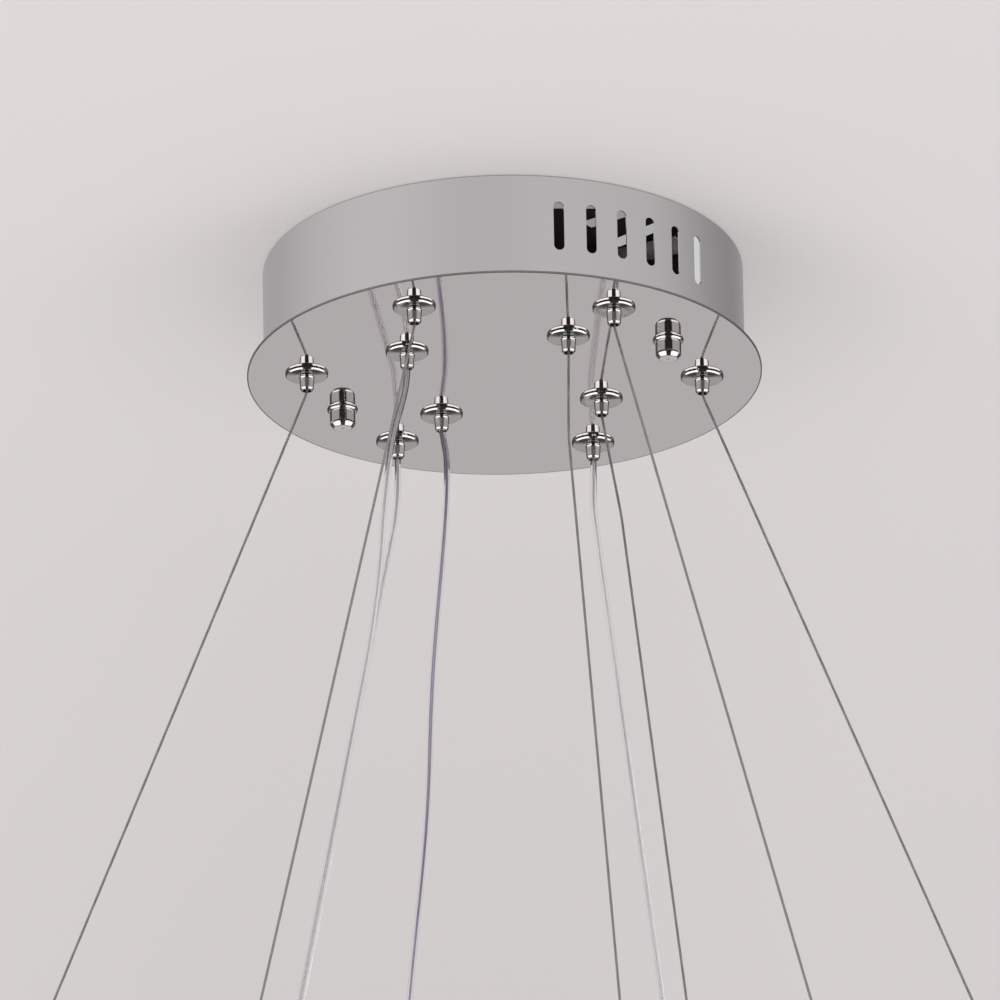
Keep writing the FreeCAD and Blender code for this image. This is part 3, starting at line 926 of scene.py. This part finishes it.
# a wire straightens within this many of its diameters past its bend
WIRE_BEND = 6
TERMINAL_RADIUS = 2.0
TERMINAL_LENGTH = 18
TERMINAL_OUTLINE = [
    (0, 0),
    (1.0, 0),
    (1.55, -1.2, 0.2),
    (TERMINAL_RADIUS, -2.0, 0.2),
    (TERMINAL_RADIUS, -8.6, 0.2),
    (1.7, -9.0),
    (1.7, -9.4),
    (1.62, -9.6),
    (1.62, -TERMINAL_LENGTH + 0.5),
    (1.3, -TERMINAL_LENGTH),
    (0, -TERMINAL_LENGTH),
]


def make_wire(index, circle, angle, length, route):
    """A taut steel rope of six strands round a core, with a threaded terminal at its end."""
    points = pull_straight(route_points(circle, angle, route), WIRE_BEND * WIRE_DIAMETER * MM)
    chain = spaced(smooth_line(points), STRAND_STEP)
    strand_circle = WIRE_DIAMETER / 2 * MM - STRAND_RADIUS
    strands = bundle(chain, angle, strand_circle, ROPE_PITCH, STRANDS) + [chain]
    rope = tube_along(f"steel_rope_{index}", strands, STRAND_RADIUS, 1, "rope")
    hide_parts(f"suspension_wire_{index}")

    bm = turned(TERMINAL_OUTLINE, steps=32)
    thread(bm, TERMINAL_RADIUS, -TERMINAL_LENGTH + 0.5, -9.5, 0.7, 0.4)
    place_at(bm, end_place(chain))
    terminal = finish_mesh(bm, f"wire_terminal_{index}", "fitting")
    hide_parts("wire_ends")


CONDUCTORS = 2
CONDUCTOR_RADIUS = 0.32 * MM
CONDUCTOR_CIRCLE = CONDUCTOR_RADIUS * 1.25
CONDUCTOR_PITCH = 900 * MM
CABLE_STEP = 2.0 * MM
LILAC_CABLE = 2
PLUG_OUTLINE = [
    (0, 0),
    (2.3, 0, 0.2),
    (2.7, -2.6, 0.2),
    (2.3, -3.0),
    (2.3, -3.6),
    (3.2, -4.2, 0.2),
    (3.4, -5.8, 0.2),
    (2.9, -6.2),
    (2.9, -6.8),
    (3.9, -7.4, 0.2),
    (4.5, -10.0, 0.5),
    (4.5, -17.0, 0.2),
    (4.1, -17.4),
    (4.1, -18.2),
    (4.5, -18.6, 0.2),
    (4.5, -24.0, 0.4),
    (3.6, -24.0, 0.1),
    (3.6, -19.5),
    (0, -19.5),
]
PIN_OUTLINE = [(0, -19.6), (0.8, -19.6), (0.8, -22.6, 0.3), (0, -22.6)]
PIN_ASIDE = 1.8


def make_cable(index, circle, angle, length, route):
    """A hanging supply cable: a clear sheath round two conductors, with a plug at its end."""
    points = route_points(circle, angle, route)
    before_last = (points[-2] - points[-3]).length
    if (points[-1] - points[-2]).length > 2 * before_last:
        points = pull_straight(points, before_last)
    chain = spaced(smooth_line(points), CABLE_STEP)
    tint = "lilac_" if index == LILAC_CABLE else ""
    name, radius = f"clear_sheath_{index}", CABLE_DIAMETER / 2 * MM
    sheath = tube_along(name, [chain], radius, 6, f"{tint}sheath")
    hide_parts(f"supply_cable_{index}")
    cores = bundle(chain, angle, CONDUCTOR_CIRCLE, CONDUCTOR_PITCH, CONDUCTORS)
    name = f"cable_cores_{index}"
    core = tube_along(name, cores, CONDUCTOR_RADIUS, 2, f"{tint}core")
    bm = turned(PLUG_OUTLINE, steps=48)
    for side in (-1, 1):
        pin = turned(PIN_OUTLINE, steps=16)
        place_at(pin, Matrix.Translation((side * PIN_ASIDE * MM, 0, 0)))
        join(bm, pin)
    place_at(bm, end_place(chain))
    plug = finish_mesh(bm, f"cable_connector_{index}", "plug")
    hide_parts("cable_plugs")


# ---------------------------------------------------------------- inside the canopy

CASE_BEVEL, BLOCK_BEVEL = 0.8, 0.5
# how far below the top of a power supply's case its seam lies, and the seam's width and depth
SEAM_DROP, SEAM_WIDTH, SEAM_DEPTH = 6, 0.6, 0.5


def make_driver(node, name):
    """A power supply: a bevelled case with a sunk seam below its lid."""
    bm = cad_copy(node)
    _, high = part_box(node)
    bevel(bm, sharp_edges(bm, 60), CASE_BEVEL, 3)
    seam = high.z - SEAM_DROP * MM
    for level in (seam, seam - SEAM_WIDTH * MM):
        everything = bm.verts[:] + bm.edges[:] + bm.faces[:]
        plane = {"plane_co": (0, 0, level), "plane_no": (0, 0, 1)}
        bmesh.ops.bisect_plane(bm, geom=everything, **plane)
    seam_low = seam - (SEAM_WIDTH + 0.1) * MM
    band = [
        face
        for face in bm.faces
        if seam_low < face.calc_center_median().z < seam and abs(face.normal.z) < 0.5
    ]
    inset = {"thickness": 0.05 * MM, "depth": -SEAM_DEPTH * MM, "use_even_offset": True}
    bmesh.ops.inset_region(bm, faces=band, **inset)
    piece = finish_mesh(bm, name, "case", sharp=30)
    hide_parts(node)


SCREW_OUTLINE = [(0, 0.1), (2.9, 0.1), (2.9, -0.25, 0.1), (2.1, -0.25), (2.1, 0.05), (0, 0.05)]
SCREW_RADIUS = 2.1
SCREW_SLOT = (3.4, 0.7, 0.16, 1)
# the screws' spacing as a share of the block's length
SCREW_SPACING = 0.3


def make_terminal_block():
    """The mains terminal block, with a sunk screw for each of its three wires."""
    bm = cad_copy("terminal_block")
    bevel(bm, sharp_edges(bm, 25), BLOCK_BEVEL, 3)
    low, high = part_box("terminal_block")
    middle = (low + high) / 2
    for place in (-1, 0, 1):
        well = turned(SCREW_OUTLINE, steps=24)
        paint(well, 1, lambda radius, height: radius < SCREW_RADIUS)
        slot = bmesh.new()
        bmesh.ops.create_cube(slot, size=MM)
        place_at(slot, Matrix.Diagonal(SCREW_SLOT))
        # the screw's slot gets the near-black finish: painted shade
        paint(slot, 2, lambda radius, height: True)
        join(well, slot)
        across = place * (high.x - low.x) * SCREW_SPACING
        place_at(well, Matrix.Translation((middle.x + across, middle.y, low.z)))
        join(bm, well)
    piece = finish_mesh(bm, "terminal_body", "terminal zinc dark", sharp=30)
    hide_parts("terminal_block")


def finish_pads():
    """The foam pads stay as they were packed, and only get their finish."""
    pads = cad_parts["driver_pads"]
    pads.data.materials.clear()
    pads.data.materials.append(FINISHES["foam"])


# ---------------------------------------------------------------- room and light

CEILING_COLOR = (0.68, 0.648, 0.645, 1)
FLOOR_COLOR = (0.66, 0.63, 0.625, 1)
SHADE_COLOR = (0.06, 0.06, 0.06, 1)
CEILING_GLOW, FLOOR_GLOW = 0.35, 0.6
# A backdrop sinks to this share of its brightness over these metres behind the canopy, and off to
# the sides only this part of the sinking is left.
FAR_DIM = 0.94
FAR_SPAN, ASIDE_SPAN = (0.0, 0.5), (0.08, 0.3)
ASIDE_PART = 0.4
# in metres: how far the room reaches, how low its floor is, and how far apart backdrops lie
ROOM_REACH = 6
FLOOR_HEIGHT = -2.3
LAYER = 0.0002
# the unlit ceiling inside the canopy, in millimetres from its axis
SHADE_REACH = (103, 92)
# daylight past the strap, seen through the vents: name, middle, reach from there, turn, glow
DAYLIGHT_GAPS = [
    ("daylight_gap_side", (113.5, -10), (10.5, 50), 0, 0.62),
    ("daylight_gap_near", (75, -55.2), (19, 5), -47.7, 0.42),
    ("daylight_gap_middle", (57.9, -80), (17, 5), -39.6, 0.3),
]
# bearings in degrees from the front, positive to the right, and how bright the ceiling is there
CEILING_LEVELS = [
    (-180, 0.42),
    (-144, 0.49),
    (-116, 0.63),
    (-80, 0.76),
    (-51, 0.74),
    (-26, 0.65),
    (0, 0.66),
    (17, 0.71),
    (47, 0.67),
    (75, 0.66),
    (100, 0.5),
    (128, 0.34),
    (150, 0.32),
    (180, 0.42),
]
# how bright the steel sees the room below the canopy
DARK, DOORWAY, ROOM, REAR, WALL, TALL_LIGHTS = 0.02, 0.12, 0.5, 0.05, 0.49, 0.95
# bearings either way, in degrees, where the doorway ends, the room ends and the wall begins
DOORWAY_END, ROOM_END, WALL_START = 34, 116, 160
# how far down things begin or end, how far aside the room begins, and how far up the ceiling does
ROOM_DOWN, DOORWAY_DOWN_END = (0.16, 0.24), (0.28, 0.36)
WALL_DOWN, WALL_DOWN_END = (0.3, 0.37), (0.52, 0.62)
LIGHTS_DOWN = (0.42, 0.49)
ROOM_ASIDE = (0.22, 0.32)
CEILING_UP = (0.0, 0.12)
# name, place, size and power
LAMPS = [
    ("soft_left", (-2.2, -1.8, -1.4), (1.6, 1.6), 30),
    ("soft_right", (2.4, -1.6, -1.2), (1.4, 1.6), 20),
]
LAMP_AIM = Vector((0, 0, -0.2))


def one_sided(name, color, glow):
    """A backdrop that shows only from its front, glows for the camera and is dimmer far off."""
    finish = Finish(name)
    x, y, _ = finish.add("ShaderNodeSeparateXYZ", Vector=finish.coordinates()).outputs
    beyond = finish.step(y, *FAR_SPAN)
    below = finish.step(finish.maths("ABSOLUTE", x), *ASIDE_SPAN, 1.0, ASIDE_PART)
    dimmed = finish.maths("MULTIPLY", beyond, below)
    dim_color = [part * FAR_DIM for part in color[:3]] + [1]
    mixed = finish.add("ShaderNodeMixRGB", Fac=dimmed, Color1=color, Color2=dim_color)
    color = mixed.outputs[0]
    finish.look(Base_Color=color, Roughness=0.9)
    seen = finish.add("ShaderNodeLightPath").outputs["Is Camera Ray"]
    glowing = finish.add("ShaderNodeEmission", Color=color, Strength=1.0).outputs[0]
    lit = finish.mix(finish.maths("MULTIPLY", seen, glow), finish.shader.outputs[0], glowing)
    behind = finish.add("ShaderNodeNewGeometry").outputs["Backfacing"]
    clear = finish.add("ShaderNodeBsdfTransparent").outputs[0]
    output = finish.tree.nodes["Material Output"]
    finish.set(output, "Surface", finish.mix(behind, lit, clear))
    return finish.material


def make_backdrop(name, middle, reach, material, turn=0, facing_down=True):
    """A level rectangle: its middle, its reach in X and Y from there, and its turn in degrees."""
    bm = bmesh.new()
    bmesh.ops.create_grid(bm, x_segments=1, y_segments=1, size=1)
    if facing_down:
        bmesh.ops.reverse_faces(bm, faces=bm.faces)
    turned_by = Matrix.Rotation(math.radians(turn), 4, "Z")
    place_at(bm, Matrix.Translation(middle) @ turned_by @ Matrix.Diagonal((*reach, 1, 1)))
    mesh = to_mesh(bm, name)
    mesh.materials.append(material)
    backdrop = put_in_scene(name, mesh)
    return backdrop


def make_world():
    """Even room light, a pale backdrop, and what the polished steel reflects."""
    world = bpy.data.worlds.new("room")
    bpy.context.scene.world = world
    world.use_nodes = True
    room = Nodes(world.node_tree)
    maths, step = room.maths, room.step
    direction = room.add("ShaderNodeTexCoord").outputs["Generated"]
    x, y, z = room.add("ShaderNodeSeparateXYZ", i0=direction).outputs
    # how far round from the front, how far that is either way, and how far down
    bearing = maths("ARCTAN2", x, maths("MULTIPLY", y, -1.0))
    round_from_front = maths("ABSOLUTE", bearing)
    down = maths("MULTIPLY", z, -1.0)

    def beyond(degrees, soft=5):
        return step(round_from_front, math.radians(degrees - soft), math.radians(degrees + soft))

    def both(first, second):
        return maths("MULTIPLY", first, second)

    def without(share):
        return maths("SUBTRACT", 1.0, share)

    def background(color, strength):
        return room.add("ShaderNodeBackground", Color=color, Strength=strength).outputs[0]

    # below the canopy: a dark doorway in front, the room beside it, and the pale wall behind
    rear = beyond(ROOM_END, 8)
    beside = both(beyond(DOORWAY_END), step(maths("ABSOLUTE", x), *ROOM_ASIDE))
    beside = both(beside, without(rear))
    wall = both(beyond(WALL_START, 10), without(step(down, *WALL_DOWN_END)))
    wall = both(wall, step(down, *WALL_DOWN))
    doorway = both(step(down, *ROOM_DOWN), without(step(down, *DOORWAY_DOWN_END)))
    doorway = both(doorway, without(beyond(DOORWAY_END)))
    # and the tall lights low at its left and right
    lights = both(beside, step(down, *LIGHTS_DOWN))
    level = DARK
    for share, strength in (
        (both(beside, step(down, *ROOM_DOWN)), ROOM),
        (doorway, DOORWAY),
        (rear, REAR),
        (wall, WALL),
        (lights, TALL_LIGHTS),
    ):
        level = maths("MULTIPLY_ADD", share, strength, level)
    # above it: the ceiling, brightest at the left of the front
    turn_share = maths("MULTIPLY_ADD", bearing, 1 / FULL_TURN, 0.5)
    ramp = room.add("ShaderNodeValToRGB", i0=turn_share)
    ramp.color_ramp.interpolation = "B_SPLINE"
    while len(ramp.color_ramp.elements) < len(CEILING_LEVELS):
        ramp.color_ramp.elements.new(0.5)
    for stop, (degrees, gray) in zip(ramp.color_ramp.elements, CEILING_LEVELS):
        stop.position = degrees / 360 + 0.5
        stop.color = (gray, gray, gray, 1)
    up_share = step(z, *CEILING_UP)
    level = both(level, without(up_share))
    level = maths("MULTIPLY_ADD", ramp.outputs[0], up_share, level)

    reflected = background((1.0, 0.985, 0.985, 1), level)
    pale = background(CEILING_COLOR, 1.0)
    daylight = background((1.0, 0.99, 0.99, 1), 0.9)
    rays = room.add("ShaderNodeLightPath").outputs
    seen = maths("MAXIMUM", rays["Is Camera Ray"], rays["Is Transmission Ray"])
    shown = room.mix(rays["Is Glossy Ray"], daylight, reflected)
    room.set(room.tree.nodes["World Output"], "Surface", room.mix(seen, shown, pale))


def make_lamp(name, place, size, power):
    """A soft lamp that lights the canopy and isn't seen itself, not even in the steel."""
    data = bpy.data.lights.new(name, "AREA")
    data.shape = "RECTANGLE"
    data.size, data.size_y = size
    data.energy = power
    lamp = put_in_scene(name, data)
    lamp.location = place
    toward = LAMP_AIM - Vector(place)
    lamp.rotation_euler = toward.to_track_quat("-Z", "Y").to_euler()
    lamp.visible_glossy = False
    lamp.visible_camera = False


def make_room():
    """The ceiling above and inside the canopy, the floor, the world and the lamps."""
    wide = (ROOM_REACH, ROOM_REACH)
    ceiling_paint = one_sided("ceiling_paint", CEILING_COLOR, CEILING_GLOW)
    ceiling = make_backdrop("ceiling", (0, 0, 2 * LAYER), wide, ceiling_paint)
    ceiling.visible_glossy = False
    shade = one_sided("ceiling_in_canopy", SHADE_COLOR, 0.0)
    reach = [part * MM for part in SHADE_REACH]
    make_backdrop("ceiling_in_canopy", (0, 0, LAYER), reach, shade)
    for name, middle, reach, turn, glow in DAYLIGHT_GAPS:
        gap = one_sided(name, (glow, glow, glow, 1), 1.0)
        middle = (middle[0] * MM, middle[1] * MM, 0)
        reach = [part * MM for part in reach]
        make_backdrop(name, middle, reach, gap, turn)
    floor_paint = one_sided("floor_paint", FLOOR_COLOR, FLOOR_GLOW)
    floor = make_backdrop("floor", (0, 0, FLOOR_HEIGHT), wide, floor_paint, facing_down=False)
    floor.visible_shadow = False
    floor.visible_diffuse = False
    floor.visible_glossy = False
    make_world()
    for lamp in LAMPS:
        make_lamp(*lamp)
    bpy.context.scene.view_settings.view_transform = "Standard"


# ---------------------------------------------------------------- build

make_camera()
for number, line in enumerate(WIRES, start=1):
    make_wire(number, *line)
for number, line in enumerate(CABLES, start=1):
    make_cable(number, *line)
make_plate()
make_drum()
make_strap()
make_cap_nuts()
make_grips()
make_driver("led_driver_front", "driver_case_front")
make_driver("led_driver_back", "driver_case_back")
make_terminal_block()
finish_pads()
make_room()
